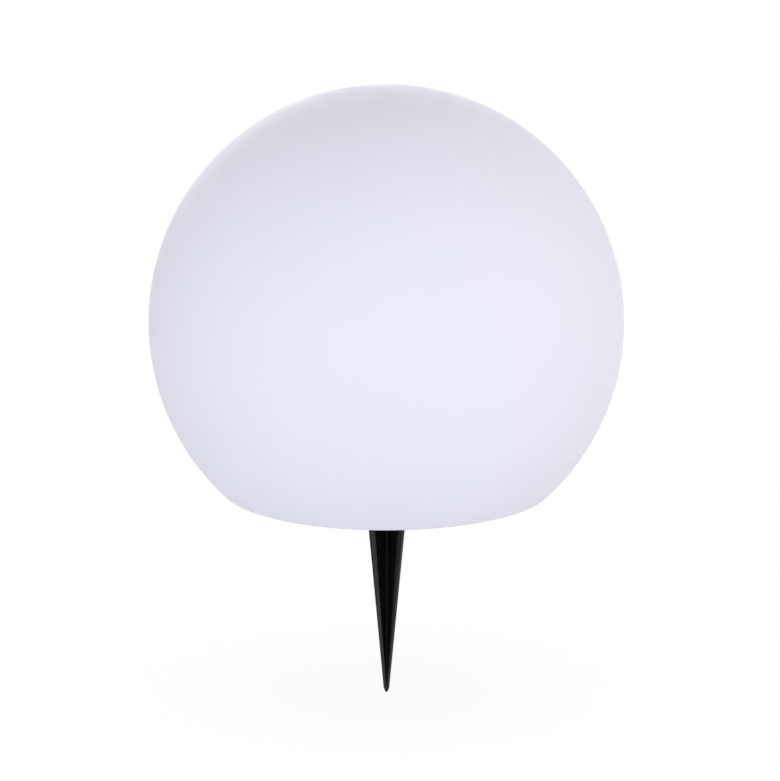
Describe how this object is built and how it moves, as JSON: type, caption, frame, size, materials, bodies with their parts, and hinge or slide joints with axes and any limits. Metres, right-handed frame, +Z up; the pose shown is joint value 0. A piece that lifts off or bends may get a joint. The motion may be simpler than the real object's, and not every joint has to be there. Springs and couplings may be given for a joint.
{
  "type": "garden globe light",
  "caption": "Round moulded garden light, flat underneath, on a four-finned ground spike, with a light unit screwed into its base, a push button and a flap over its charging port.",
  "frame": {"origin": "centre of the globe's flat underside, at ground level", "axes": "+Z up through the top of the globe, -Z down the ground spike, front of the light towards -Y"},
  "size_m": [0.3, 0.3, 0.3931],
  "materials": {
    "globe": "milky rotation-moulded polyethylene, matt",
    "spike": "glossy black polypropylene",
    "housing": "fine-grained black moulding",
    "lid": "white moulding",
    "dome": "frosted polycarbonate",
    "seal_rubber": "matt black rubber",
    "flap_rubber": "dark grey silicone rubber",
    "stainless": "bright stainless steel",
    "brass": "turned brass",
    "nickel": "nickel-plated spring steel",
    "lamp_board": "white lacquer on aluminium",
    "lamp_chips": "yellow phosphor in a white frame",
    "circuit_board": "green lacquer on glass fibre",
    "components": "black moulded components",
    "cell": "blue shrink sleeve",
    "holder": "black moulding",
    "leads": "coloured insulation",
    "button": "grey moulding",
    "fittings": "black moulded bezel, barrel and nuts"
  },
  "bodies": {
    "spike": {"ground_spike": "spike"},
    "light_unit": {"base_housing": "housing", "base_gasket": "seal_rubber", "flange_screws": "stainless", "screw_washers": "seal_rubber", "housing_lid": "lid", "lid_gasket": "seal_rubber", "lid_screws": "stainless", "led_board": "lamp_board", "led_chips": "lamp_chips", "led_board_screws": "stainless", "led_dome": "dome", "dome_seal": "seal_rubber", "dome_screws": "stainless", "lead_grommet": "seal_rubber", "led_leads": "leads", "battery_cell": "cell", "battery_holder": "holder", "battery_holder_screws": "stainless", "battery_spring_contact": "nickel", "battery_plate_contact": "nickel", "battery_leads": "leads", "control_board": "circuit_board", "board_components": "components", "control_board_screws": "stainless", "switch_body": "fittings", "switch_nut": "fittings", "switch_seal": "seal_rubber", "switch_leads": "leads", "charge_socket": "fittings", "socket_nut": "fittings", "socket_leads": "leads", "port_flap_anchor": "flap_rubber"},
    "globe": {"globe_shell": "globe", "threaded_inserts": "brass"},
    "button": {"power_button": "button"},
    "flap": {"port_flap": "flap_rubber"}
  },
  "joints": [
    {"name": "lamp_lift", "type": "slide", "parent": "spike", "child": "light_unit", "axis": [0, 0, 1], "range_m": [0, 0.04]},
    {"name": "globe_lift", "type": "slide", "parent": "light_unit", "child": "globe", "axis": [0, 0, 1], "range_m": [0, 0.12]},
    {"name": "power_button_press", "type": "slide", "parent": "light_unit", "child": "button", "axis": [0, 0, 1], "range_m": [0, 0.0014], "stiffness_N_per_m": 500, "springref_m": -0.002},
    {"name": "port_flap_open", "type": "hinge", "parent": "light_unit", "child": "flap", "pos_m": [0.04046, -0.02336, 0.0083], "axis": [-0.5, -0.866, 0], "range_deg": [0, 100]}
  ]
}
